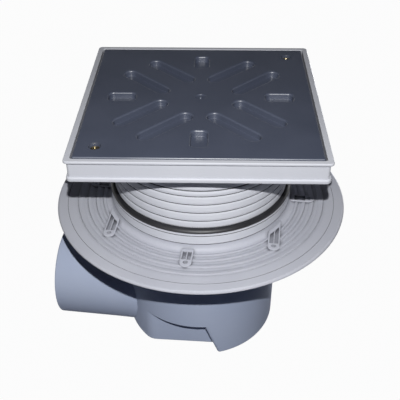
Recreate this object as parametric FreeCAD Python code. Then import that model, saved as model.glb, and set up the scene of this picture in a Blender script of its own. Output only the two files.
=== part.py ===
import FreeCAD, Part
import math
import os

# Square frame at the top of the riser
frame_margin = 26.0
lip_width = 5.5
lip_height = 3.0
lip_overhang = 2.5
lip_round = 1.0
lip_inner_round = 0.8
frame_depth = 23.0
frame_corner = 4.0
frame_floor = 3.0
bead_height = 5.0
bead_out = 1.8
bead_round = 1.7
riser_out = 99.0
riser_turn = 6.2

# Lands inside the frame that carry the cover
land_width = 7.0
land_height = 3.0
land_length = 26.0
lands_per_side = 3
post_r = 7.0

# Cover plate and its pockets
lid_gap = 1.5
lid_drop = -0.3
lid_height = 9.0
lid_plate = 3.5
lid_skirt = 4.0
lid_round = 1.4
lid_corner = 1.5
pocket_depth = 6.5
pocket_wall = 2.0
pocket_round = 1.8
pocket_floor_round = 0.3
axial_width = 15.6
axial_length = 28.0
axial_margin = 19.0
axial_corner = 5.0
diagonal_width = 14.5
diagonal_near = 31.0
diagonal_margin = 16.5
diagonal_offset = 18.0
dimple_r = 5.5
dimple_depth = 1.2
dimple_round = 0.5
nipple_r = 1.8
nipple_round = 1.1

# Cover screws and thread inserts
screw_inset = 18.5
screw_shank_r = 2.45
screw_head_r = 4.6
screw_head_height = 3.0
screw_head_round = 0.8
screw_sink = 2.0
screw_hole_r = 2.8
screw_head_gap = 1.4
screw_pad_r = 9.0
screw_slot = 1.2
screw_slot_depth = 1.4
screw_slot_reach = 2.85
screw_tip_over = 0.5
screw_tip_gap = 0.5
insert_r = 4.0
insert_length = 7.0
thread_gap = 0.05
insert_gap = 0.02

# Ribbed neck of the riser
neck_r = 94.0
neck_wall = 3.5
neck_length = 110.0
groove_pitch = 10.0
groove_first = 6.1
groove_depth = 1.9
groove_width = 1.0
band_fall = 0.35
band_run = 2.6
top_groove_down = 27.2
top_groove_depth = 2.3
top_groove_width = 1.4

# Lip seal
lip_gap = 0.06
lip_land = 2.0
lip_nose = 0.3
seal_rise = 3.8
seal_flare = 1.95
seal_edge = 0.8
seal_crown = 0.9
seal_heel_gap = 0.6
seal_seat_depth = 6.6
seal_seat_wall = 1.6
seal_turn_gap = 0.05

# Socket, collar and flange of the body
socket_gap = 1.2
socket_wall = 3.4
socket_depth = 92.0
collar_line_down = 13.6
collar_line_width = 1.0
collar_line_depth = 1.6
seat_line_down = 3.2
seat_line_width = 0.8
seat_line_depth = 0.8
flange_width = 60.2
flange_down = 21.0
flange_thick = 2.6
flange_edge = 0.2
cove_r = 6.0
ridge_count = 4
ridge_out = 6.4
ridge_pitch = 7.0
ridge_growth = 1.25
ridge_width = 4.2
ridge_widening = 0.8
ridge_height = 1.6
ridge_drop = 0.9
rim_line_in = 11.4
rim_line_width = 0.6
rim_line_depth = 0.5

# Screw lugs on the flange
lug_count = 8
lug_out = 21.6
lug_width = 12.2
lug_height = 2.4
lug_wall = 1.5
lug_rib = 0.9
lug_rib_drop = 0.4
lug_sink = 1.4
lug_hole_r = 2.5
lug_round = 0.7

# Pot, foot and outlet of the body
pot_wall = 3.5
pot_floor = 4.0
foot_r = 46.0
foot_height = 17.4
base_round = 2.4
ledge_width = 10.2
ledge_thick = 5.0
ledge_over = 7.4
outlet_r = 55.0
outlet_wall = 3.2
outlet_lift = 0.6
outlet_reach = 169.5
outlet_round = 1.4
stub_over = 0.6
stub_draft = 1.0
panel_setback = 20.2
panel_rise = 46.6
panel_end_top = 13.5
panel_end_low = 29.1
panel_turn = 3.0
panel_end_round = 3.5
panel_fade_round = 18.0

# Trap inside the pot
gasket_thick = 2.0
gasket_edge_gap = 1.2
tray_edge_gap = 1.0
tray_thick = 3.0
tray_dish = 20.0
tray_slope_run = 23.0
tray_floor_thick = 2.5
tube_r = 27.0
tube_wall = 2.5
tube_clear = 10.0
cup_gap = 10.5
cup_wall = 2.5
cup_clear = 4.6
overflow_gap = 12.0
hook_count = 3
hook_width = 8.0
hook_thick = 2.5
hook_nose = 1.6
hook_height = 2.0
hook_gap = 0.4
shoulder_extra = 3.0

# Dirt basket and its handle
basket_floor_gap = 8.0
basket_side_gap = 10.5
basket_wall = 2.0
basket_height = 45.5
basket_rim = 8.0
basket_rim_thick = 2.0
basket_foot_r = 4.0
basket_foot_height = 4.0
basket_foot_in = 7.0
basket_slots = 24
slot_width = 5.0
slot_margin = 6.0
floor_slots = 10
floor_slot_near = 14.0
ear_width = 10.0
ear_thick = 3.0
ear_over = 4.0
wire_r = 2.0
pin_gap = 0.08
wire_rest_gap = 0.3
wire_side_gap = 2.5
pin_over = 2.0

# Overlap of features that grow into each other, and run-out of cutting shapes past a face
weld = 0.5
past = 1.0

# Radii and sides that follow from the fits
frame_side = 2 * (neck_r + frame_margin)
neck_in_r = neck_r - neck_wall
socket_r = neck_r + socket_gap
collar_r = socket_r + socket_wall
flange_r = collar_r + flange_width
ridge_first_r = collar_r + ridge_out
rim_line_r = flange_r - rim_line_in
lug_pitch_r = collar_r + lug_out
pot_in_r = socket_r - ledge_width
pot_r = pot_in_r + pot_wall
tray_floor_r = pot_in_r - tray_slope_run
cup_r = tube_r + cup_gap + cup_wall
basket_low_r = tray_floor_r - basket_floor_gap
basket_top_r = neck_in_r - basket_side_gap - basket_rim
basket_foot_pitch_r = basket_low_r - basket_foot_in
lid_side = frame_side - 2 * lip_width - 2 * lid_gap
axial_far = lid_side / 2 - axial_margin
axial_near = axial_far - axial_length
diagonal_far = lid_side / 2 - diagonal_margin
screw_at = lid_side / 2 - screw_inset
stub_end = collar_r + stub_over
outlet_bore_r = outlet_r - outlet_wall

# Levels above the foot's underside
outlet_z = outlet_r + outlet_lift
pot_base_z = foot_height
pot_floor_z = pot_base_z + pot_floor
ledge_z = outlet_z + outlet_r + ledge_over
collar_top_z = ledge_z + socket_depth
collar_line_z = collar_top_z - collar_line_down
flange_top_z = collar_top_z - flange_down
flange_low_z = flange_top_z - flange_thick
frame_top_z = collar_top_z + riser_out
frame_low_z = frame_top_z - frame_depth
floor_top_z = frame_low_z + frame_floor
neck_low_z = frame_low_z - neck_length
lid_top_z = frame_top_z - lid_drop
land_top_z = lid_top_z - lid_height
gasket_top_z = ledge_z + gasket_thick
tray_top_z = gasket_top_z + tray_thick
tray_floor_z = tray_top_z - tray_dish
tray_under_z = tray_floor_z - tray_floor_thick
cup_low_z = pot_floor_z + cup_clear
cup_rim_z = tray_under_z - overflow_gap
basket_base_z = tray_floor_z + basket_foot_height
basket_floor_z = basket_base_z + basket_wall
basket_rim_z = basket_base_z + basket_height
basket_taper = (basket_top_r - basket_low_r) / (basket_height - basket_rim_thick)
basket_edge_r = basket_low_r + basket_taper * basket_wall
pivot_z = basket_rim_z + wire_r + wire_rest_gap
ear_in = basket_top_r + basket_rim / 2 - ear_thick / 2
bail_r = ear_in - wire_side_gap - wire_r

ORIGIN = FreeCAD.Vector(0, 0, 0)
UP = FreeCAD.Vector(0, 0, 1)


def at(x, y, z):
    return FreeCAD.Vector(x, y, z)


def cyl(radius, low, high, x=0.0, y=0.0):
    return Part.makeCylinder(radius, high - low, at(x, y, low))


def ring(outer, inner, low, high):
    return cyl(outer, low, high).cut(cyl(inner, low - past, high + past))


def block(x0, x1, y0, y1, z0, z1):
    return Part.makeBox(x1 - x0, y1 - y0, z1 - z0, at(x0, y0, z0))


def turned(shape, degrees):
    copy = shape.copy()
    copy.rotate(ORIGIN, UP, degrees)
    return copy


def spun(points):
    # Solid of revolution about the drain's axis from a closed outline of (radius, height) points
    corners = [at(r, 0, z) for r, z in points]
    face = Part.Face(Part.makePolygon(corners + corners[:1]))
    return face.revolve(ORIGIN, UP, 360)


def rounded_plate(length, width, corner, low, high):
    # Plate centred on the axis with its four standing corners rounded, up to fully round ends
    reach = length / 2 - corner
    side = max(width / 2 - corner, 0.0)
    bend = corner * math.sqrt(0.5)
    edges = []
    here = None
    first = None
    for sx, sy in ((1, 1), (-1, 1), (-1, -1), (1, -1)):
        middle = at(sx * reach, sy * side, low)
        along = middle.add(at(sx * corner, 0, 0))
        across = middle.add(at(0, sy * corner, 0))
        start, end = (along, across) if sx * sy > 0 else (across, along)
        if here is None:
            first = start
        elif here.distanceToPoint(start) > 1e-6:
            edges.append(Part.makeLine(here, start))
        edges.append(Part.Arc(start, middle.add(at(sx * bend, sy * bend, 0)), end).toShape())
        here = end
    if here.distanceToPoint(first) > 1e-6:
        edges.append(Part.makeLine(here, first))
    return Part.Face(Part.Wire(edges)).extrude(at(0, 0, high - low))


def level_edges(shape, level):
    # Edges that lie wholly at one height
    return [e for e in shape.Edges
            if abs(e.BoundBox.ZMin - level) < 1e-4 and abs(e.BoundBox.ZMax - level) < 1e-4]


def fuse_all(shapes):
    return shapes[0].multiFuse(shapes[1:]).removeSplitter()


def pocket(near, far, width, corner, offset, degrees, grow, low, high):
    # Long pocket that runs outward from the middle along one direction
    length = far - near + 2 * grow
    shape = rounded_plate(length, width + 2 * grow, corner + grow, low, high)
    shape.translate(at((near + far) / 2, offset, 0))
    return turned(shape, degrees)


def lid_pockets(grow, low, high):
    shapes = []
    full_round = diagonal_width / 2
    for quarter in range(4):
        shapes.append(pocket(axial_near, axial_far, axial_width, axial_corner, 0.0,
                             90 * quarter, grow, low, high))
        for side in (-1, 1):
            shapes.append(pocket(diagonal_near, diagonal_far, diagonal_width, full_round,
                                 side * diagonal_offset, 45 + 90 * quarter, grow, low, high))
    return shapes


def corner_points():
    return [(-screw_at, -screw_at), (screw_at, screw_at)]


def make_cover():
    plate_low = lid_top_z - lid_plate
    solid = rounded_plate(lid_side, lid_side, lid_corner, land_top_z, lid_top_z)
    solid = solid.makeFillet(lid_round, level_edges(solid, lid_top_z))
    hollow_side = lid_side - 2 * lid_skirt
    hollow = rounded_plate(hollow_side, hollow_side, lid_corner, land_top_z - past, plate_low)
    solid = solid.cut(hollow)
    floor_low = lid_top_z - pocket_depth - pocket_wall
    pads = [cyl(screw_pad_r, land_top_z, plate_low + weld, x, y) for x, y in corner_points()]
    solid = fuse_all([solid] + lid_pockets(pocket_wall, floor_low, plate_low + weld) + pads)
    pocket_floor = lid_top_z - pocket_depth
    cuts = []
    for shape in lid_pockets(0.0, pocket_floor, lid_top_z + past):
        cuts.append(shape.makeFillet(pocket_floor_round, level_edges(shape, pocket_floor)))
    head_floor = lid_top_z - screw_sink - screw_head_height
    for x, y in corner_points():
        cuts.append(cyl(screw_hole_r, land_top_z - past, lid_top_z + past, x, y))
        cuts.append(cyl(screw_head_r + screw_head_gap, head_floor, lid_top_z + past, x, y))
    cuts.append(ring(dimple_r, nipple_r, lid_top_z - dimple_depth, lid_top_z + past))
    solid = solid.cut(Part.makeCompound(cuts))
    rims = []
    for edge in level_edges(solid, lid_top_z):
        centre = edge.CenterOfMass
        inside = max(abs(centre.x), abs(centre.y)) < lid_side / 2 - lid_skirt
        off_middle = math.hypot(centre.x, centre.y) > 2 * dimple_r
        off_pads = all(math.hypot(centre.x - x, centre.y - y) > screw_pad_r for x, y in corner_points())
        if inside and off_middle and off_pads:
            rims.append(edge)
    solid = solid.makeFillet(pocket_round, rims)
    for radius, bend in ((dimple_r, dimple_round), (nipple_r, nipple_round)):
        circle = [e for e in level_edges(solid, lid_top_z) if abs(e.BoundBox.XMax - radius) < past]
        solid = solid.makeFillet(bend, circle)
    return solid


def make_screws():
    head_low = lid_top_z - screw_sink - screw_head_height
    head_top = lid_top_z - screw_sink
    tip = land_top_z - insert_length - screw_tip_over
    screws = []
    for x, y in corner_points():
        head = cyl(screw_head_r, head_low, head_top, x, y)
        head = head.makeFillet(screw_head_round, level_edges(head, head_top))
        shank = cyl(screw_shank_r, tip, head_low + weld, x, y)
        screw = fuse_all([head, shank])
        for along, across in ((screw_slot_reach, screw_slot / 2), (screw_slot / 2, screw_slot_reach)):
            screw = screw.cut(block(x - along, x + along, y - across, y + across,
                                    head_top - screw_slot_depth, head_top + past))
        screws.append(screw)
    return Part.makeCompound(screws)


def make_inserts():
    low = land_top_z - insert_length
    bore = screw_shank_r + thread_gap
    inserts = []
    for x, y in corner_points():
        body = cyl(insert_r - insert_gap, low, land_top_z, x, y)
        inserts.append(body.cut(cyl(bore, low - past, land_top_z + past, x, y)))
    return Part.makeCompound(inserts)


def make_frame():
    wall_side = frame_side - 2 * lip_overhang
    inner_side = frame_side - 2 * lip_width
    wall_corner = frame_corner - lip_overhang / 2
    inner_corner = lid_corner + lid_gap
    lip_low = frame_top_z - lip_height
    lip = rounded_plate(frame_side, frame_side, frame_corner, lip_low, frame_top_z)
    lip = lip.makeFillet(lip_round, level_edges(lip, frame_top_z) + level_edges(lip, lip_low))
    wall = rounded_plate(wall_side, wall_side, wall_corner, frame_low_z, lip_low + lip_round + weld)
    bead_side = wall_side + 2 * bead_out
    bead_top = frame_low_z + bead_height
    bead = rounded_plate(bead_side, bead_side, wall_corner + bead_out, frame_low_z, bead_top)
    bead = bead.makeFillet(bead_round, level_edges(bead, frame_low_z) + level_edges(bead, bead_top))
    solid = fuse_all([lip, wall, bead])
    solid = solid.cut(rounded_plate(inner_side, inner_side, inner_corner, floor_top_z, frame_top_z + past))
    inner_rim = [e for e in level_edges(solid, frame_top_z)
                 if max(abs(e.CenterOfMass.x), abs(e.CenterOfMass.y)) < inner_side / 2 + weld]
    solid = solid.makeFillet(lip_inner_round, inner_rim)
    parts = [solid]
    # Lands stand off the frame's inner wall and leave ways down for water between them
    land_low = land_top_z - land_height
    half = inner_side / 2
    spread = half - land_length / 2 - frame_corner
    for side in range(4):
        for index in range(lands_per_side):
            centre = spread * (2 * index / max(lands_per_side - 1, 1) - 1)
            land = block(half - land_width, half + weld, centre - land_length / 2,
                         centre + land_length / 2, land_low, land_top_z)
            parts.append(turned(land, 90 * side))
    for x, y in corner_points():
        parts.append(cyl(post_r, frame_low_z + weld, land_top_z, x, y))
    solid = fuse_all(parts)
    insert_low = land_top_z - insert_length
    tip_low = insert_low - screw_tip_over - screw_tip_gap
    cuts = [cyl(neck_in_r, frame_low_z - past, frame_top_z)]
    for x, y in corner_points():
        cuts.append(cyl(insert_r, insert_low, land_top_z + past, x, y))
        cuts.append(cyl(screw_shank_r + screw_tip_gap, tip_low, land_top_z, x, y))
    return solid.cut(Part.makeCompound(cuts))


def make_neck():
    top_groove = frame_low_z - top_groove_down
    grooves = [(top_groove, top_groove_depth, top_groove_width)]
    level = neck_low_z + groove_first
    while level < top_groove - groove_pitch / 2:
        grooves.append((level, groove_depth, groove_width))
        level += groove_pitch
    cuts = []
    for middle, depth, width in grooves:
        # Each band falls away softly towards the sharp groove beside it
        cuts.append(spun([(neck_r + past, middle - band_run), (neck_r, middle - band_run),
                          (neck_r - band_fall, middle - width / 2), (neck_r - depth, middle - width / 4),
                          (neck_r - depth, middle + width / 4), (neck_r - band_fall, middle + width / 2),
                          (neck_r, middle + band_run), (neck_r + past, middle + band_run)]))
    return ring(neck_r, neck_in_r, neck_low_z, frame_low_z).cut(Part.makeCompound(cuts))


def make_seal():
    # Ring with its heel in the collar's seat, a crowned back over the gap and a lip at the neck
    seat_low = collar_top_z - seal_seat_depth
    heel_in = neck_r + seal_heel_gap
    heel_out = collar_r - seal_seat_wall - seal_turn_gap
    lip = neck_r + lip_gap
    tip_z = collar_top_z + seal_rise
    flare = at(heel_out + seal_flare, 0, collar_top_z + seal_edge)
    nose = at(lip + lip_nose, 0, tip_z)
    middle = flare.add(nose).multiply(0.5)
    across = at(flare.z - nose.z, 0, nose.x - flare.x).normalize()
    crown = middle.sub(across.multiply(seal_crown))
    corners = [nose, at(lip, 0, tip_z - lip_nose), at(lip, 0, tip_z - lip_land),
               at(heel_in, 0, tip_z - 2 * lip_land), at(heel_in, 0, seat_low), at(heel_out, 0, seat_low),
               at(heel_out, 0, collar_top_z), at(flare.x, 0, collar_top_z), flare]
    edges = [Part.makeLine(a, b) for a, b in zip(corners, corners[1:])]
    edges.append(Part.Arc(flare, crown, nose).toShape())
    return Part.Face(Part.Wire(edges)).revolve(ORIGIN, UP, 360)


def flange_face():
    # Section of the flange: rounded rim, ring ridges that grow apart and a fine slot near the rim.
    # Each ridge swells outward to a brow and drops steeply behind it
    top = flange_top_z
    low = flange_low_z
    bend = flange_thick - flange_edge
    inner = socket_r + socket_wall / 2
    edges = []
    here = at(inner, 0, top)
    for index in range(ridge_count):
        start_r = ridge_first_r + index * ridge_pitch + index * (index - 1) / 2 * ridge_growth
        end_r = start_r + ridge_width + index * ridge_widening
        run = end_r - ridge_drop - start_r
        bulge_r = (run ** 2 + ridge_height ** 2) / (2 * ridge_height)
        half_turn = math.asin(run / bulge_r) / 2
        start = at(start_r, 0, top)
        swell = at(start_r + run - bulge_r * math.sin(half_turn), 0,
                   top + ridge_height - bulge_r * (1 - math.cos(half_turn)))
        brow = at(start_r + run, 0, top + ridge_height)
        end = at(end_r, 0, top)
        edges.append(Part.makeLine(here, start))
        edges.append(Part.Arc(start, swell, brow).toShape())
        edges.append(Part.makeLine(brow, end))
        here = end
    near = rim_line_r - rim_line_width / 2
    far = rim_line_r + rim_line_width / 2
    deep = top - rim_line_depth
    slot = [at(near, 0, top), at(near, 0, deep), at(far, 0, deep), at(far, 0, top)]
    for point in slot + [at(flange_r - bend, 0, top)]:
        edges.append(Part.makeLine(here, point))
        here = point
    slant = bend * math.sqrt(0.5)
    end = at(flange_r, 0, top - bend)
    edges.append(Part.Arc(here, at(flange_r - bend + slant, 0, top - bend + slant), end).toShape())
    edges.append(Part.makeLine(end, at(flange_r, 0, low)))
    edges.append(Part.makeLine(at(flange_r, 0, low), at(inner, 0, low)))
    edges.append(Part.makeLine(at(inner, 0, low), at(inner, 0, top)))
    return Part.Face(Part.Wire(edges))


def cove_face():
    # Hollow corner where the collar rises from the flange
    top = flange_top_z
    inner = socket_r + socket_wall / 2
    bend = cove_r * (1 - math.sqrt(0.5))
    foot = at(collar_r + cove_r, 0, top)
    head = at(collar_r, 0, top + cove_r)
    corners = [head, at(inner, 0, top + cove_r), at(inner, 0, top - weld),
               at(collar_r + cove_r, 0, top - weld), foot]
    edges = [Part.makeLine(a, b) for a, b in zip(corners, corners[1:])]
    edges.append(Part.Arc(foot, at(collar_r + bend, 0, top + bend), head).toShape())
    return Part.Face(Part.Wire(edges))


def lug_shapes(degrees):
    # Round-ended lug whose walls run straight back to the collar, with a split pocket behind its hole
    top = flange_top_z + lug_height
    low = flange_top_z - flange_thick / 2
    half = lug_width / 2
    x = lug_pitch_r * math.cos(math.radians(degrees))
    y = lug_pitch_r * math.sin(math.radians(degrees))
    # Lugs in front and behind run back parallel to Y, the two beside them run back along X
    beside = abs(y) < lug_width
    heading = degrees if beside else math.copysign(90, y)
    tail = abs(x) if beside else abs(y)
    hub = cyl(socket_r + socket_wall / 2, low - flange_thick, top + past)
    lug = block(-tail, 0, -half, half, low, top).fuse(cyl(half, low, top)).removeSplitter()
    lug = lug.makeFillet(lug_round, level_edges(lug, top))
    open_half = half - lug_wall
    pocket_end = lug_hole_r + lug_wall
    well = block(-tail, -pocket_end, -open_half, open_half, flange_top_z - lug_sink, top + past)
    well = well.cut(block(-tail, 0, -lug_rib / 2, lug_rib / 2, low, top - lug_rib_drop))
    shapes = []
    for shape in (lug, well, cyl(lug_hole_r, low - flange_thick, top + past)):
        placed = turned(shape, heading)
        placed.translate(at(x, y, 0))
        shapes.append(placed)
    foot = cyl(collar_r + cove_r, low - past, top + 2 * past)
    return shapes[0].cut(hub), shapes[1].cut(foot), shapes[2]


def recess_shape(grow):
    # Space cut out of the pot's lower side in front of the outlet, with one sloping end
    face_y = -(pot_r - panel_setback) + grow
    far_y = -2 * pot_r
    ceiling = pot_base_z + panel_rise + grow
    low = -past
    slope = (panel_end_low - panel_end_top) / panel_rise
    x_low = panel_end_low + slope * (pot_base_z - low) + grow
    x_top = panel_end_top - slope * grow + grow
    corners = [at(-2 * pot_r, face_y, low), at(x_low, face_y, low),
               at(x_top, face_y, ceiling), at(-2 * pot_r, face_y, ceiling)]
    face = Part.Face(Part.makePolygon(corners + corners[:1]))
    space = face.extrude(at(0, far_y - face_y, 0))
    space.rotate(at(panel_end_low, face_y - grow, 0), UP, panel_turn)
    return space


def outlet_rod(radius, near, far):
    # Round rod along the outlet's axis between two distances from the drain's axis
    return Part.makeCylinder(radius, far - near, at(-near, 0, outlet_z), at(-1, 0, 0))


def make_pot():
    # The lower pot takes the recess, which ends in a step on one side and fades out on the other
    recess_top_z = pot_base_z + panel_rise
    lower = cyl(pot_r, pot_base_z, recess_top_z).cut(recess_shape(0.0))
    panel_end = []
    panel_fade = []
    for edge in lower.Edges:
        box = edge.BoundBox
        standing = box.ZLength > panel_rise - past
        if standing and box.XMin > 0 and box.YMax < panel_setback - pot_r - panel_end_round:
            panel_end.append(edge)
        if standing and box.XMax < 0:
            panel_fade.append(edge)
    lower = lower.makeFillet(panel_end_round, panel_end)
    lower = lower.makeFillet(panel_fade_round, panel_fade)
    lower = lower.makeFillet(base_round, level_edges(lower, pot_base_z))
    upper = cyl(pot_r, recess_top_z, ledge_z)
    foot = cyl(foot_r, 0, pot_base_z + weld)
    ledge = cyl(collar_r, ledge_z - ledge_thick, ledge_z)
    stub = Part.makeCone(outlet_r + stub_draft, outlet_r, stub_end, at(0, 0, outlet_z), at(-1, 0, 0))
    stub = stub.common(block(-2 * stub_end, past, -stub_end, stub_end, 0, ledge_z))
    solid = fuse_all([lower, upper, foot, ledge, stub])
    chamber = cyl(pot_in_r, pot_floor_z, ledge_z + past).cut(recess_shape(pot_wall))
    well = cyl(foot_r - pot_wall, outlet_z - outlet_bore_r, pot_floor_z + past)
    for shape in (chamber, outlet_rod(outlet_bore_r, 0, stub_end + past), well):
        solid = solid.cut(shape)
    return solid.removeSplitter()


def make_outlet():
    pipe = outlet_rod(outlet_r, stub_end, outlet_reach)
    outer_end = [e for e in pipe.Edges if abs(e.BoundBox.XMax + outlet_reach) < 1e-4]
    pipe = pipe.makeFillet(outlet_round, outer_end)
    return pipe.cut(outlet_rod(outlet_bore_r, stub_end - past, outlet_reach + past))


def make_socket():
    return ring(collar_r, socket_r, ledge_z, flange_low_z)


def collar_slot(level, width, depth):
    # Fine slot round the outside of the collar
    return ring(collar_r + past, collar_r - depth, level - width / 2, level + width / 2)


def collar_line():
    return collar_slot(collar_line_z, collar_line_width, collar_line_depth)


def make_flange():
    lugs = [lug_shapes(360.0 * n / lug_count) for n in range(lug_count)]
    hub = ring(collar_r, socket_r, flange_low_z, collar_line_z)
    plate = flange_face().revolve(ORIGIN, UP, 360)
    cove = cove_face().revolve(ORIGIN, UP, 360)
    solid = fuse_all([hub, plate, cove] + [lug[0] for lug in lugs])
    for lug in lugs:
        solid = solid.cut(lug[1]).cut(lug[2])
    return solid.cut(collar_line()).removeSplitter()


def make_collar():
    collar = ring(collar_r, socket_r, collar_line_z, collar_top_z)
    seat = cyl(collar_r - seal_seat_wall, collar_top_z - seal_seat_depth, collar_top_z + past)
    seat_line = collar_slot(collar_top_z - seat_line_down, seat_line_width, seat_line_depth)
    return collar.cut(seat).cut(collar_line()).cut(seat_line)


def make_gasket():
    return ring(socket_r - gasket_edge_gap, pot_in_r + gasket_edge_gap, ledge_z, gasket_top_z)


def hook_piece(outer, inner, half, low, high):
    # Slice of a ring, centred on the X axis
    return ring(outer, inner, low, high).common(block(0, 2 * outer, -half, half, low, high))


def hook_turns():
    return [360.0 * n / hook_count for n in range(hook_count)]


def make_tray():
    rim_r = socket_r - tray_edge_gap
    step = tray_thick - tray_floor_thick
    tray = spun([(tube_r - tube_wall, tray_under_z), (tray_floor_r, tray_under_z),
                 (pot_in_r - gasket_edge_gap, gasket_top_z), (rim_r, gasket_top_z), (rim_r, tray_top_z),
                 (pot_in_r - gasket_edge_gap - tray_thick - step, tray_top_z),
                 (tray_floor_r - tray_thick, tray_floor_z), (tube_r - tube_wall, tray_floor_z)])
    for degrees in hook_turns():
        gate = hook_piece(cup_r + hook_gap, cup_r - hook_thick - hook_gap, hook_width / 2 + hook_gap,
                          tray_under_z - past, tray_floor_z + past)
        tray = tray.cut(turned(gate, degrees))
    return tray


def make_tube():
    return ring(tube_r, tube_r - tube_wall, cup_low_z + cup_wall + tube_clear, tray_under_z)


def make_cup():
    wall = ring(cup_r, cup_r - cup_wall, cup_low_z, cup_rim_z)
    floor = cyl(cup_r, cup_low_z, cup_low_z + cup_wall)
    pieces = [wall, floor]
    inner = cup_r - hook_thick
    half = hook_width / 2
    top = tray_floor_z + hook_height
    for degrees in hook_turns():
        arm = hook_piece(cup_r, inner, half + shoulder_extra, cup_rim_z - overflow_gap, tray_under_z)
        tongue = hook_piece(cup_r, inner, half, cup_rim_z, top)
        nose = hook_piece(cup_r + hook_nose, inner, half, tray_floor_z, top)
        for shape in (arm, tongue, nose):
            pieces.append(turned(shape, degrees))
    return fuse_all(pieces)


def make_basket():
    rim_low = basket_rim_z - basket_rim_thick
    inner_low = basket_edge_r - basket_wall
    inner_top = basket_top_r + basket_taper * basket_rim_thick - basket_wall
    wall = spun([(inner_low, basket_floor_z), (basket_edge_r, basket_floor_z), (basket_top_r, rim_low),
                 (basket_top_r + basket_rim, rim_low), (basket_top_r + basket_rim, basket_rim_z),
                 (inner_top, basket_rim_z)])
    pieces = [wall]
    ear_top = pivot_z + wire_r + ear_over
    for side in (-1, 1):
        near = side * ear_in
        far = side * (ear_in + ear_thick)
        pieces.append(block(-ear_width / 2, ear_width / 2, min(near, far), max(near, far),
                            rim_low + basket_rim_thick / 2, ear_top))
    solid = fuse_all(pieces)
    cuts = []
    for n in range(basket_slots):
        slot = block(basket_low_r / 2, 2 * basket_top_r, -slot_width / 2, slot_width / 2,
                     basket_floor_z + slot_margin / 2, rim_low - slot_margin)
        cuts.append(turned(slot, 360.0 * (n + 0.5) / basket_slots))
    cuts.append(Part.makeCylinder(wire_r + pin_gap, 4 * basket_top_r, at(0, -2 * basket_top_r, pivot_z),
                                  at(0, 1, 0)))
    return solid.cut(Part.makeCompound(cuts))


def make_basket_floor():
    floor = spun([(0, basket_base_z), (basket_low_r, basket_base_z), (basket_edge_r, basket_floor_z),
                  (0, basket_floor_z)])
    cuts = []
    for n in range(floor_slots):
        slot = block(floor_slot_near, basket_foot_pitch_r - basket_foot_r - past, -slot_width / 2,
                     slot_width / 2, basket_base_z - past, basket_floor_z + past)
        cuts.append(turned(slot, 360.0 * n / floor_slots))
    return floor.cut(Part.makeCompound(cuts))


def make_feet():
    foot = cyl(basket_foot_r, tray_floor_z, basket_base_z, basket_foot_pitch_r, 0)
    return Part.makeCompound([turned(foot, degrees + 180.0 / hook_count) for degrees in hook_turns()])


def make_handle():
    bow = Part.makeTorus(bail_r, wire_r, at(0, 0, pivot_z), UP, 0, 360, 180)
    bow.rotate(at(0, 0, pivot_z), UP, -90)
    pieces = [bow]
    end = ear_in + ear_thick + pin_over
    for side in (-1, 1):
        pieces.append(Part.makeCylinder(wire_r, end - bail_r, at(0, side * bail_r, pivot_z), at(0, side, 0)))
        pieces.append(Part.makeSphere(wire_r, at(0, side * bail_r, pivot_z)))
    return fuse_all(pieces)


def on_riser(shape):
    return turned(shape, riser_turn)


pieces = {
    "drain_pot": make_pot(),
    "outlet_pipe": make_outlet(),
    "socket_tube": make_socket(),
    "sealing_flange": make_flange(),
    "seal_collar": make_collar(),
    "lip_seal": make_seal(),
    "top_frame": on_riser(make_frame()),
    "ribbed_neck": on_riser(make_neck()),
    "cover_plate": on_riser(make_cover()),
    "cover_screws": on_riser(make_screws()),
    "thread_inserts": on_riser(make_inserts()),
    "trap_gasket": make_gasket(),
    "trap_tray": make_tray(),
    "dip_tube": make_tube(),
    "trap_cup": make_cup(),
    "dirt_basket": make_basket(),
    "basket_floor": make_basket_floor(),
    "basket_feet": make_feet(),
    "basket_handle": make_handle(),
}

os.makedirs("parts", exist_ok=True)
for name, shape in pieces.items():
    shape.exportStep("parts/" + name + ".step")
    box = shape.BoundBox
    print(name, "solids", len(shape.Solids), "valid", shape.isValid(), "volume", round(shape.Volume),
          "x", round(box.XMin, 2), round(box.XMax, 2), "y", round(box.YMin, 2), round(box.YMax, 2),
          "z", round(box.ZMin, 2), round(box.ZMax, 2))
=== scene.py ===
import bpy
import bmesh
import math
from mathutils import Matrix, Vector


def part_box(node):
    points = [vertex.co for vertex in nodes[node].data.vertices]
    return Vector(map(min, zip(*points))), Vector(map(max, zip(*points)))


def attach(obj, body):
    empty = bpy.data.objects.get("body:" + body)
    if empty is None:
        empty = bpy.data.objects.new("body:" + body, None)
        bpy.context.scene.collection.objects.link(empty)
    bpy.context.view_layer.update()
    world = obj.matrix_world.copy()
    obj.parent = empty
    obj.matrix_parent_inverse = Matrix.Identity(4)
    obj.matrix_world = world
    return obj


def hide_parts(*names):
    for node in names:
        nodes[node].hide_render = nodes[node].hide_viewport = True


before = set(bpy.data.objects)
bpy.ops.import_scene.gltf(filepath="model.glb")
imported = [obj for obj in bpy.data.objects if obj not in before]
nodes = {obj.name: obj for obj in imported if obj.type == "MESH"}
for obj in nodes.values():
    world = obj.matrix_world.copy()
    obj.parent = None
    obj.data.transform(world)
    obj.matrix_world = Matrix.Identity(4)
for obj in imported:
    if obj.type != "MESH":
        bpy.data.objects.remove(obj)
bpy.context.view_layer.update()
scene = bpy.context.scene
print("frame loaded with", len(nodes), "nodes")

mm = 0.001
# sockets of a colour mix by number, because mixes of other kinds share their names
mixShare, mixFirst, mixSecond, mixResult = 0, 6, 7, 2


def linear(hexText):
    values = [int(hexText[i:i + 2], 16) / 255 for i in (1, 3, 5)]
    return [v / 12.92 if v <= 0.04045 else ((v + 0.055) / 1.055) ** 2.4 for v in values] + [1.0]


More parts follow.
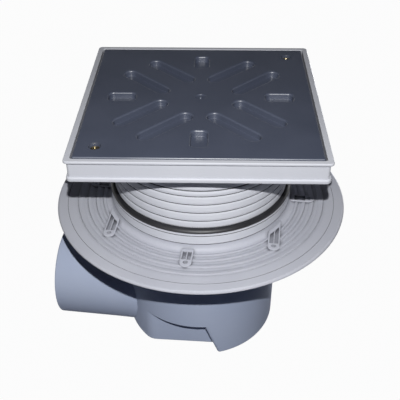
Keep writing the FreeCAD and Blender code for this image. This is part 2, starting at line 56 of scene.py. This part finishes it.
def addNode(tree, kind, settings=None, links=None):
    node = tree.nodes.new(kind)
    for key, value in (settings or {}).items():
        if isinstance(key, str) and hasattr(node, key):
            setattr(node, key, value)
        else:
            node.inputs[key].default_value = value
    for key, source in (links or {}).items():
        tree.links.new(source, node.inputs[key])
    return node


def mixColours(tree, share, first, second):
    # each colour is a hex text or another node's output
    settings = {"data_type": "RGBA"}
    links = {mixShare: share}
    for socket, colour in ((mixFirst, first), (mixSecond, second)):
        if isinstance(colour, str):
            settings[socket] = linear(colour)
        else:
            links[socket] = colour
    return addNode(tree, "ShaderNodeMix", settings, links).outputs[mixResult]


def mapRange(tree, value, start, end, low=0.0, high=1.0):
    settings = {"From Min": start, "From Max": end, "To Min": low, "To Max": high}
    return addNode(tree, "ShaderNodeMapRange", settings, {"Value": value}).outputs["Result"]


def noise(tree, place, sizeMm, detail, roughness=0.5):
    settings = {"Scale": 1 / (sizeMm * mm), "Detail": detail, "Roughness": roughness}
    return addNode(tree, "ShaderNodeTexNoise", settings, {"Vector": place}).outputs["Fac"]


def newMaterial(name):
    material = bpy.data.materials.new(name)
    material.use_nodes = True
    material.node_tree.nodes.clear()
    return material, material.node_tree


def linkObject(name, data):
    obj = bpy.data.objects.new(name, data)
    scene.collection.objects.link(obj)
    return obj


# What all moulded plastics share: how their patterns are shaped, before each one's own colours and amounts
skinLook = {"driftDetail": 3.0, "driftRange": (0.3, 0.7), "roughSwing": (-0.05, 0.06),
            "scuffTurn": (0.3, 0.2, 0.9), "scuffStretch": (1.0, 14.0, 6.0), "scuffDetail": 4.0,
            "scuffRoughness": 0.6, "scuffRange": (0.66, 0.74), "scuffDulls": 0.2,
            "edgeSamples": 4, "edgeRange": (0.995, 0.86), "paintedShadeSamples": 6, "paintedShadeRange": (0.8, 0.4),
            "grainDetail": 2.0, "rippleDetail": 1.0, "reliefMm": 0.2}


# Moulded plastics: a satin skin with the mould's fine eroded grain, slow colour drift, paler rubbed edges,
# a little painted shade in the corners and grooves, and a few hairline scuffs
def mouldedPlastic(name, ownLook):
    look = {**skinLook, **ownLook}
    material, tree = newMaterial(name)
    place = addNode(tree, "ShaderNodeTexCoord").outputs["Object"]
    drift = noise(tree, place, look["driftMm"], look["driftDetail"])
    colour = mixColours(tree, mapRange(tree, drift, *look["driftRange"]), look["shade"], look["tone"])
    # hairline scuffs: long thin noise, turned so that they don't follow the axes
    turned = addNode(tree, "ShaderNodeMapping",
                     {"Rotation": look["scuffTurn"], "Scale": look["scuffStretch"]}, {"Vector": place})
    scuff = noise(tree, turned.outputs["Vector"], look["scuffMm"], look["scuffDetail"],
                  look["scuffRoughness"])
    scuffMask = mapRange(tree, scuff, *look["scuffRange"], high=look["scuff"])
    colour = mixColours(tree, scuffMask, colour, look["rubbed"])
    # rubbed edges: where a rounded normal leaves the true one
    rounded = addNode(tree, "ShaderNodeBevel",
                      {"samples": look["edgeSamples"], "Radius": look["edgeMm"] * mm})
    surface = addNode(tree, "ShaderNodeNewGeometry")
    alike = addNode(tree, "ShaderNodeVectorMath", {"operation": "DOT_PRODUCT"},
                    {0: rounded.outputs["Normal"], 1: surface.outputs["Normal"]})
    edge = mapRange(tree, alike.outputs["Value"], *look["edgeRange"], high=look["edge"])
    colour = mixColours(tree, edge, colour, look["rubbed"])
    # painted shade: the colour darkens in grooves and corners, where ambient occlusion finds them closed in
    clear = addNode(tree, "ShaderNodeAmbientOcclusion",
                    {"samples": look["paintedShadeSamples"], "Distance": look["paintedShadeMm"] * mm})
    paintedShade = mapRange(tree, clear.outputs["AO"], *look["paintedShadeRange"], high=look["paintedShade"])
    colour = mixColours(tree, paintedShade, colour, look["paintedShadeTone"])
    # fine grain on slow ripples
    grain = noise(tree, place, look["grainMm"], look["grainDetail"])
    ripple = noise(tree, place, look["rippleMm"], look["rippleDetail"])
    height = addNode(tree, "ShaderNodeMath", {"operation": "MULTIPLY_ADD", 1: look["ripple"]},
                     {0: ripple, 2: grain})
    bump = addNode(tree, "ShaderNodeBump", {"Strength": look["bump"], "Distance": look["reliefMm"] * mm},
                   {"Height": height.outputs[0]})
    # roughness follows the drift, and scuffs are duller
    smooth, dull = (look["rough"] + swing for swing in look["roughSwing"])
    rough = mapRange(tree, drift, *look["driftRange"], low=smooth, high=dull)
    scuffedRough = addNode(tree, "ShaderNodeMath", {"operation": "MULTIPLY_ADD", 1: look["scuffDulls"]},
                           {0: scuffMask, 2: rough})
    skin = addNode(tree, "ShaderNodeBsdfPrincipled",
                   {"IOR": look["ior"], "Specular IOR Level": look["gloss"]},
                   {"Base Color": colour, "Roughness": scuffedRough.outputs[0], "Normal": bump.outputs[0]})
    addNode(tree, "ShaderNodeOutputMaterial", {}, {"Surface": skin.outputs[0]})
    return material


# ABS, moulded light grey: pale and satin. The neck and collar are the same plastic made a step brighter as
# painted light, with painted shade in their grooves, and the flange a step darker as painted shade, with more
# at its ridges' feet
greyLook = {"tone": "#c5c7ce", "shade": "#bfc1c9", "rubbed": "#d8dae0", "paintedShadeTone": "#4a4b52",
            "driftMm": 70.0, "scuffMm": 60.0, "scuff": 0.2, "edgeMm": 0.6, "edge": 0.3,
            "paintedShadeMm": 2.2, "paintedShade": 0.25, "grainMm": 0.9, "rippleMm": 18.0, "ripple": 0.6, "bump": 0.10,
            "rough": 0.50, "ior": 1.53, "gloss": 0.22}
# the neck and collar's brighter tone is painted light, and their dark groove colour is painted shade
neckLook = dict(greyLook, tone="#d5d7de", shade="#cfd1d9", paintedShadeTone="#26272c", paintedShadeMm=3.6, paintedShade=0.95)
# the flange's darker tone is painted shade, and so is the dark colour at the feet of its ridges
flangeLook = dict(greyLook, tone="#c0c2cb", shade="#b9bbc5", paintedShadeMm=4.0, paintedShade=0.75, paintedShadeRange=(0.92, 0.5))
greyAbs = mouldedPlastic("abs_moulded_light_grey", greyLook)
neckAbs = mouldedPlastic("abs_moulded_light_grey_painted_light", neckLook)
flangeAbs = mouldedPlastic("abs_moulded_light_grey_painted_shade", flangeLook)

# PVC, moulded light grey: pot, outlet and socket, duller than the ABS, with a blue cast of painted bounce
# light
potLook = {"tone": "#bbc5db", "shade": "#b3bed6", "rubbed": "#c6cdda", "paintedShadeTone": "#5a6484",
           "driftMm": 60.0, "scuffMm": 80.0, "scuff": 0.2, "edgeMm": 0.7, "edge": 0.25,
           "paintedShadeMm": 3.0, "paintedShade": 0.4, "grainMm": 1.1, "rippleMm": 24.0, "ripple": 0.8, "bump": 0.10,
           "rough": 0.60, "ior": 1.50, "gloss": 0.12}
potPvc = mouldedPlastic("pvc_moulded_light_grey_painted_blue_light", potLook)

# ABS, moulded slate: the cover, dark and unrubbed, with a silky gloss that draws lines of light on its rims
slateLook = {"tone": "#4e5465", "shade": "#494f5f", "rubbed": "#5d6373", "paintedShadeTone": "#363a45",
             "driftMm": 55.0, "scuffMm": 50.0, "scuff": 0.05, "edgeMm": 0.5, "edge": 0.0,
             "paintedShadeMm": 3.0, "paintedShade": 0.1, "grainMm": 0.8, "rippleMm": 14.0, "ripple": 0.3, "bump": 0.03,
             "rough": 0.38, "ior": 1.60, "gloss": 0.80}
slateAbs = mouldedPlastic("abs_moulded_slate", slateLook)

# polypropylene, moulded white: the trap and basket, waxy and a little cloudy
whiteLook = {"tone": "#e4e4e1", "shade": "#dadad6", "rubbed": "#efefec", "paintedShadeTone": "#9a968c",
             "driftMm": 40.0, "scuffMm": 45.0, "scuff": 0.25, "edgeMm": 0.5, "edge": 0.25,
             "paintedShadeMm": 4.0, "paintedShade": 0.4, "grainMm": 0.9, "rippleMm": 15.0, "ripple": 0.5, "bump": 0.08,
             "rough": 0.40, "ior": 1.49, "gloss": 0.45}
whitePp = mouldedPlastic("polypropylene_moulded_white", whiteLook)

# EPDM rubber, moulded: near black, with a broad soft sheen and a faint grey bloom
rubberLook = {"tone": "#232327", "shade": "#1b1b1e", "rubbed": "#3a3a3f", "paintedShadeTone": "#121214",
              "driftMm": 25.0, "scuffMm": 30.0, "scuff": 0.2, "edgeMm": 0.5, "edge": 0.3,
              "paintedShadeMm": 3.0, "paintedShade": 0.3, "grainMm": 0.7, "rippleMm": 9.0, "ripple": 0.4, "bump": 0.12,
              "rough": 0.46, "ior": 1.52, "gloss": 0.5}
rubber = mouldedPlastic("epdm_rubber_moulded", rubberLook)


# Brass, turned: pale yellow metal with fine tool marks and browner, duller spots of tarnish
brassLook = {"bright": "#c8bc9c", "brown": "#6f654e", "tarnishMm": 3.0, "tarnishDetail": 4.0,
             "tarnishRange": (0.42, 0.68), "tarnish": 0.8, "markMm": 0.35, "markDetail": 1.0, "bump": 0.15,
             "reliefMm": 0.05, "rough": 0.30, "roughRange": (0.35, 0.7), "tarnishDulls": 0.2}


def turnedBrass(name, look):
    material, tree = newMaterial(name)
    place = addNode(tree, "ShaderNodeTexCoord").outputs["Object"]
    spots = noise(tree, place, look["tarnishMm"], look["tarnishDetail"])
    mask = mapRange(tree, spots, *look["tarnishRange"], high=look["tarnish"])
    colour = mixColours(tree, mask, look["bright"], look["brown"])
    marks = noise(tree, place, look["markMm"], look["markDetail"])
    bump = addNode(tree, "ShaderNodeBump", {"Strength": look["bump"], "Distance": look["reliefMm"] * mm},
                   {"Height": marks})
    dull = look["rough"] + look["tarnishDulls"]
    rough = mapRange(tree, spots, *look["roughRange"], low=look["rough"], high=dull)
    skin = addNode(tree, "ShaderNodeBsdfPrincipled", {"Metallic": 1.0},
                   {"Base Color": colour, "Roughness": rough, "Normal": bump.outputs[0]})
    addNode(tree, "ShaderNodeOutputMaterial", {}, {"Surface": skin.outputs[0]})
    return material


brass = turnedBrass("brass_turned", brassLook)

finishes = {
    "top_frame": greyAbs, "ribbed_neck": neckAbs, "seal_collar": neckAbs, "sealing_flange": flangeAbs,
    "drain_pot": potPvc, "outlet_pipe": potPvc, "socket_tube": potPvc,
    "cover_plate": slateAbs, "cover_screws": brass, "thread_inserts": brass,
    "lip_seal": rubber, "trap_gasket": rubber,
    "trap_tray": whitePp, "dip_tube": whitePp, "trap_cup": whitePp,
    "dirt_basket": whitePp, "basket_floor": whitePp, "basket_feet": whitePp, "basket_handle": whitePp,
}
for name, material in finishes.items():
    for slot in nodes[name].material_slots:
        slot.material = material
print("finishes set on", len(finishes), "nodes")


def meshFrom(name, shape):
    mesh = bpy.data.meshes.new(name)
    shape.to_mesh(mesh)
    shape.free()
    return mesh


def latheMesh(name, profile, around):
    # turns an outline of radius and height about the upright axis; radius zero gives a single point
    shape = bmesh.new()
    rings = []
    for r, z in profile:
        if r == 0.0:
            rings.append([shape.verts.new((0, 0, z))] * around)
        else:
            rings.append([shape.verts.new((r * math.cos(t), r * math.sin(t), z))
                          for t in (2 * math.pi * i / around for i in range(around))])
    for upper, lower in zip(rings, rings[1:]):
        for i in range(around):
            j = (i + 1) % around
            corners = []
            for v in (upper[i], lower[i], lower[j], upper[j]):
                if v not in corners:
                    corners.append(v)
            shape.faces.new(corners)
    return meshFrom(name, shape)


def quarterTurn(steps):
    return [math.pi / 2 * i / steps for i in range(steps + 1)]


# Cover screws: cheese heads with a cross recess, one modelled and set at both corners of the cover
screwLook = {"headMm": 4.6, "riseMm": 3.0, "domeMm": 0.35, "edgeMm": 0.7, "shankMm": 2.45, "grooveMm": 0.25,
             "pitchMm": 1.0, "crossMm": (2.9, 0.62), "crossFootMm": (1.3, 0.36), "crossDeepMm": 1.9,
             "crossOverMm": 1.0, "steps": 6, "around": 64, "sharpDegrees": 35}


def screwProfile(look, length):
    # half outline from the middle of the head down to the tip, heights from the top of the head
    head, rise, dome, edge = (look[k] * mm for k in ("headMm", "riseMm", "domeMm", "edgeMm"))
    shank, groove, pitch = (look[k] * mm for k in ("shankMm", "grooveMm", "pitchMm"))
    steps = look["steps"]
    flat = head - edge
    points = [(flat * i / steps, -dome * (i / steps) ** 2) for i in range(steps + 1)]
    points += [(flat + edge * math.sin(a), -dome - edge + edge * math.cos(a)) for a in quarterTurn(steps)[1:]]
    points += [(head, -rise)]
    for i in range(int((length - rise) / pitch)):
        top = -rise - i * pitch
        points += [(shank - groove, top), (shank, top - pitch / 2)]
    return points + [(shank - groove, -length), (0.0, -length)]


def crossMesh(name, look):
    # two crossed wedges, wide at the top and narrow at the foot
    shape = bmesh.new()
    levels = ((look["crossMm"], look["crossOverMm"]), (look["crossFootMm"], -look["crossDeepMm"]))
    for turn in (0.0, math.pi / 2):
        turned = Matrix.Rotation(turn, 3, "Z")
        corners = []
        for (reach, half), z in levels:
            corners.append([shape.verts.new(turned @ Vector((x * reach * mm, y * half * mm, z * mm)))
                            for x, y in ((-1, -1), (1, -1), (1, 1), (-1, 1))])
        top, foot = corners
        shape.faces.new(top)
        shape.faces.new(foot[::-1])
        for i in range(4):
            j = (i + 1) % 4
            shape.faces.new((top[i], foot[i], foot[j], top[j]))
    return meshFrom(name, shape)


def cornerTree(name):
    # sets one screw at two points and gives it its finish
    tree = bpy.data.node_groups.new(name, "GeometryNodeTree")
    inputs = {"Screw": "Object", "Corner": "Vector", "Opposite": "Vector", "Finish": "Material"}
    for title, kind in inputs.items():
        tree.interface.new_socket(title, in_out="INPUT", socket_type="NodeSocket" + kind)
    tree.interface.new_socket("Geometry", in_out="OUTPUT", socket_type="NodeSocketGeometry")
    given = addNode(tree, "NodeGroupInput")
    spots = addNode(tree, "GeometryNodeMeshLine", {"mode": "END_POINTS", "Count": 2},
                    {"Start Location": given.outputs["Corner"], "Offset": given.outputs["Opposite"]})
    shape = addNode(tree, "GeometryNodeObjectInfo", {}, {"Object": given.outputs["Screw"]})
    placed = addNode(tree, "GeometryNodeInstanceOnPoints", {},
                     {"Points": spots.outputs["Mesh"], "Instance": shape.outputs["Geometry"]})
    real = addNode(tree, "GeometryNodeRealizeInstances", {}, {"Geometry": placed.outputs[0]})
    finished = addNode(tree, "GeometryNodeSetMaterial", {},
                       {"Geometry": real.outputs[0], "Material": given.outputs["Finish"]})
    addNode(tree, "NodeGroupOutput", {}, {"Geometry": finished.outputs[0]})
    return tree


def makeScrews(look):
    low, high = (Vector(c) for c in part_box("cover_screws"))
    inset = look["headMm"] * mm
    corner = Vector((low.x + inset, low.y + inset, high.z))
    profile = screwProfile(look, high.z - low.z)
    single = linkObject("screwPattern", latheMesh("screwPattern", profile, look["around"]))
    cutter = linkObject("crossPattern", crossMesh("crossPattern", look))
    cut = single.modifiers.new("crossRecess", "BOOLEAN")
    cut.object = cutter
    cut.use_self = True
    carrier = linkObject("screwCarrier", bpy.data.meshes.new("screwCarrier"))
    spread = carrier.modifiers.new("spread", "NODES")
    spread.node_group = cornerTree("screwsAtCorners")
    values = {"Screw": single, "Corner": corner, "Opposite": Vector((-corner.x, -corner.y, corner.z)),
              "Finish": brass}
    for socket in spread.node_group.interface.items_tree:
        if socket.in_out == "INPUT":
            spread[socket.identifier] = values[socket.name]
    bpy.context.view_layer.update()
    mesh = bpy.data.meshes.new_from_object(carrier.evaluated_get(bpy.context.evaluated_depsgraph_get()))
    mesh.name = "coverScrewsDressed"
    mesh.shade_smooth()
    mesh.set_sharp_from_angle(angle=math.radians(look["sharpDegrees"]))
    for obj in (carrier, single, cutter):
        bpy.data.objects.remove(obj)
    screws = linkObject("coverScrewsDressed", mesh)
    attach(screws, "riser")
    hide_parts("cover_screws")
    print("screws made, faces", len(mesh.polygons))


makeScrews(screwLook)


# Plain floor that turns up into a low wall. A camera, metal or glass sees it as white paper with a trace of
# the object's shadow, and it throws little light back at the object
floorLook = {"radius": 4.0, "cove": 0.35, "coveSteps": 8, "wall": 1.0, "under": 0.0003, "around": 96,
             "colour": "#343c55", "white": 0.97}


def paperMaterial(name, look):
    material, tree = newMaterial(name)
    path = addNode(tree, "ShaderNodeLightPath")
    seen = addNode(tree, "ShaderNodeMath", {"operation": "MAXIMUM"},
                   {0: path.outputs["Is Camera Ray"], 1: path.outputs["Is Glossy Ray"]})
    seenAny = addNode(tree, "ShaderNodeMath", {"operation": "MAXIMUM"},
                      {0: seen.outputs[0], 1: path.outputs["Is Transmission Ray"]})
    share = addNode(tree, "ShaderNodeMath", {"operation": "MULTIPLY", 1: look["white"]},
                    {0: seenAny.outputs[0]})
    paper = addNode(tree, "ShaderNodeBsdfDiffuse", {"Color": linear(look["colour"])})
    white = addNode(tree, "ShaderNodeEmission", {"Strength": 1.0})
    both = addNode(tree, "ShaderNodeMixShader", {},
                   {0: share.outputs[0], 1: paper.outputs[0], 2: white.outputs[0]})
    addNode(tree, "ShaderNodeOutputMaterial", {}, {"Surface": both.outputs[0]})
    return material


def makeFloor(look):
    reach, bend = look["radius"], look["cove"]
    outline = [(0.0, 0.0)]
    outline += [(reach - bend + bend * math.sin(a), bend - bend * math.cos(a))
                for a in quarterTurn(look["coveSteps"])]
    outline += [(reach, look["wall"])]
    mesh = latheMesh("studioFloor", [(r, z - look["under"]) for r, z in outline], look["around"])
    mesh.shade_smooth()
    mesh.materials.append(paperMaterial("paper_pale_matt", look))
    linkObject("studioFloor", mesh)


makeFloor(floorLook)

# World: a low even fill
worldLook = {"colour": "#ffffff", "fill": 0.02}
world = bpy.data.worlds.new("studioWorld")
scene.world = world
world.use_nodes = True
world.node_tree.nodes.clear()
worldBack = addNode(world.node_tree, "ShaderNodeBackground",
                    {"Color": linear(worldLook["colour"]), "Strength": worldLook["fill"]})
addNode(world.node_tree, "ShaderNodeOutputWorld", {}, {"Surface": worldBack.outputs[0]})

# Lamps: a small key beside the lens for the crisp shadows, and two low ones that light the back
keyLook = {"at": (0.080, -0.589, 0.723), "aim": (0.0, 0.0, 0.20), "size": 0.010, "watts": 5.8,
           "tint": "#ffffff"}
backLook = {"at": (0.70, 1.50, 0.10), "aim": (0.0, 0.0, 0.10), "size": 0.18, "watts": 9.0,
            "tint": "#f4f6ff"}
mirroredLook = dict(backLook, at=(-backLook["at"][0], *backLook["at"][1:]))
lamps = {"keyLamp": keyLook, "backLeftLamp": mirroredLook, "backRightLamp": backLook}


def makeLamp(name, look):
    light = bpy.data.lights.new(name, "AREA")
    light.shape = "DISK"
    light.size = look["size"]
    light.energy = look["watts"]
    light.color = linear(look["tint"])[:3]
    lamp = linkObject(name, light)
    lamp.location = look["at"]
    towards = Vector(look["aim"]) - Vector(look["at"])
    lamp.rotation_euler = towards.to_track_quat("-Z", "Y").to_euler()


for name, look in lamps.items():
    makeLamp(name, look)
print("stage and", len(lamps), "lamps set")

# Camera at the photograph's viewing angle, in metres, degrees and, for lens and sensor, millimetres
cameraLook = {"at": (0.07786, -0.6049, 0.63884), "yaw": -7.42, "pitch": 37.09, "roll": 0.14, "lens": 60.63,
              "sensor": 36.0, "nearest": 0.01}


def makeCamera(look):
    yaw, pitch, roll = (math.radians(look[k]) for k in ("yaw", "pitch", "roll"))
    ahead = Vector((math.sin(yaw) * math.cos(pitch), math.cos(yaw) * math.cos(pitch), -math.sin(pitch)))
    right = Vector((math.cos(yaw), -math.sin(yaw), 0))
    down = ahead.cross(right)
    side = right * math.cos(roll) + down * math.sin(roll)
    under = down * math.cos(roll) - right * math.sin(roll)
    data = bpy.data.cameras.new("photoCamera")
    data.sensor_fit = "HORIZONTAL"
    data.sensor_width = look["sensor"]
    data.lens = look["lens"]
    data.clip_start = look["nearest"]
    camera = linkObject("photoCamera", data)
    turn = Matrix((side, -under, -ahead)).transposed().to_4x4()
    camera.matrix_world = Matrix.Translation(look["at"]) @ turn
    scene.camera = camera


makeCamera(cameraLook)
scene.view_settings.view_transform = "Standard"
